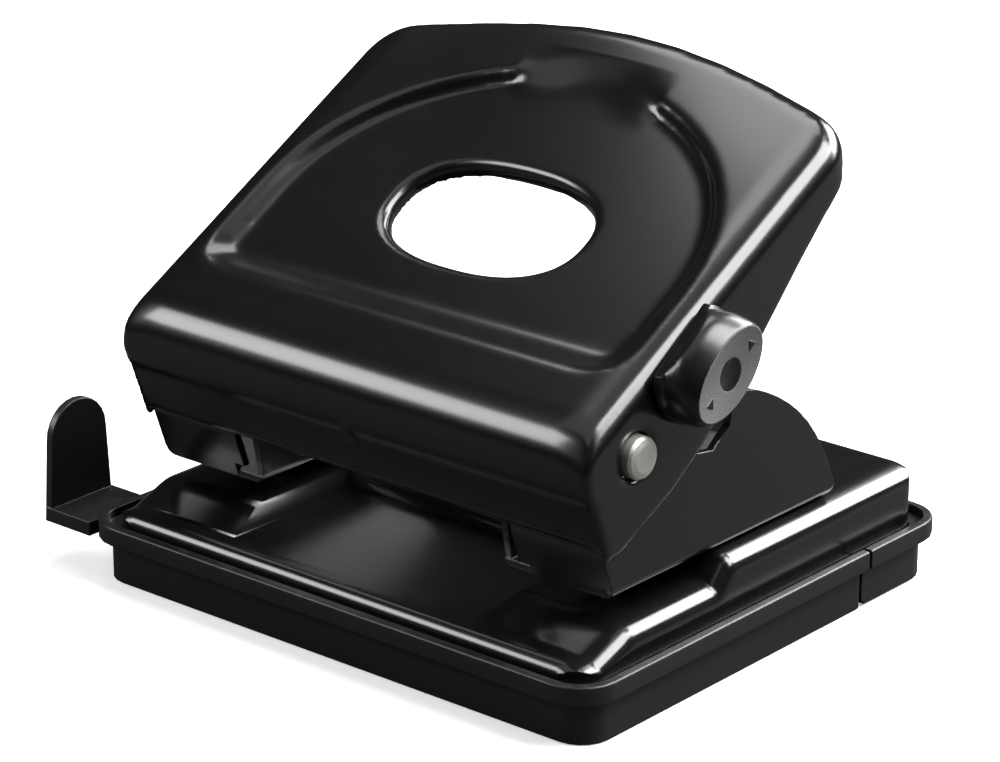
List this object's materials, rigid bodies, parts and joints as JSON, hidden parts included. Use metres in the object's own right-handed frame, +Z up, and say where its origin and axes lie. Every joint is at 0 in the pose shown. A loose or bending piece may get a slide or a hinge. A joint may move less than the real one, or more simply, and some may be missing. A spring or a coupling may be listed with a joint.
{
  "type": "hole punch",
  "caption": "Lever-action desk hole punch: black pressed-steel handle over sprung punches, with a chip tray, sliding paper guide and locking knob.",
  "frame": {"origin": "centre of the chip tray's underside", "axes": "+X along the row of holes towards the lock knob, +Y from the paper side towards the free end of the handle, +Z up"},
  "size_m": [0.1425, 0.112, 0.1001],
  "materials": {
    "tray_plastic": "fine moulded grain, satin black",
    "knob_plastic": "spark-eroded grain on the face, smooth sides",
    "black_lacquer": "high-gloss black enamel on steel sheet",
    "nickel_steel": "bright nickel plate",
    "plain_steel": "plain spring steel"
  },
  "bodies": {
    "base": {"chip_tray": "tray_plastic", "base_plate": "black_lacquer", "bracket_right": "black_lacquer", "bracket_left": "black_lacquer", "foot_rivet_front_right": "nickel_steel", "foot_rivet_front_left": "nickel_steel", "foot_rivet_rear_right": "nickel_steel", "foot_rivet_rear_left": "nickel_steel", "punch_bush_right": "nickel_steel", "punch_bush_left": "nickel_steel", "pivot_pin_right": "nickel_steel", "pivot_pin_left": "nickel_steel", "pin_ring_right": "plain_steel", "pin_ring_left": "plain_steel", "return_spring_right": "plain_steel", "return_spring_left": "plain_steel"},
    "handle": {"handle_shell": "black_lacquer", "press_pad_right": "plain_steel", "press_pad_left": "plain_steel"},
    "punch_unit_right": {"punch_right": "nickel_steel", "punch_clip_right": "plain_steel"},
    "punch_unit_left": {"punch_left": "nickel_steel", "punch_clip_left": "plain_steel"},
    "lock": {"lock_knob": "knob_plastic", "lock_hook": "plain_steel", "lock_clip": "plain_steel"},
    "guide": {"paper_guide": "tray_plastic"},
    "flap": {"tray_flap": "tray_plastic"}
  },
  "joints": [
    {"name": "handle_press", "type": "hinge", "parent": "base", "child": "handle", "pos_m": [0, -0.0355, 0.0495], "axis": [-1, 0, 0], "range_deg": [0, 27], "stiffness_Nm_per_rad": 1.5, "springref_deg": -17.19},
    {"name": "punch_slide_right", "type": "slide", "parent": "base", "child": "punch_unit_right", "axis": [0, 0, -1], "range_m": [0, 0.0061], "deforming": ["return_spring_right"]},
    {"name": "punch_slide_left", "type": "slide", "parent": "base", "child": "punch_unit_left", "axis": [0, 0, -1], "range_m": [0, 0.0061], "deforming": ["return_spring_left"]},
    {"name": "knob_turn", "type": "hinge", "parent": "handle", "child": "lock", "pos_m": [0.06, -0.02083, 0.06293], "axis": [-1, 0, 0], "range_deg": [0, 104]},
    {"name": "guide_slide", "type": "slide", "parent": "base", "child": "guide", "axis": [-1, 0, 0], "range_m": [0, 0.075]},
    {"name": "flap_swing", "type": "hinge", "parent": "base", "child": "flap", "pos_m": [0, 0.0297, 0.0017], "axis": [-1, 0, 0], "range_deg": [0, 50]}
  ],
  "couplings": [
    {"joint": "punch_slide_right", "follows": "handle_press", "m_per_rad": 0.0129},
    {"joint": "punch_slide_left", "follows": "handle_press", "m_per_rad": 0.0129}
  ]
}
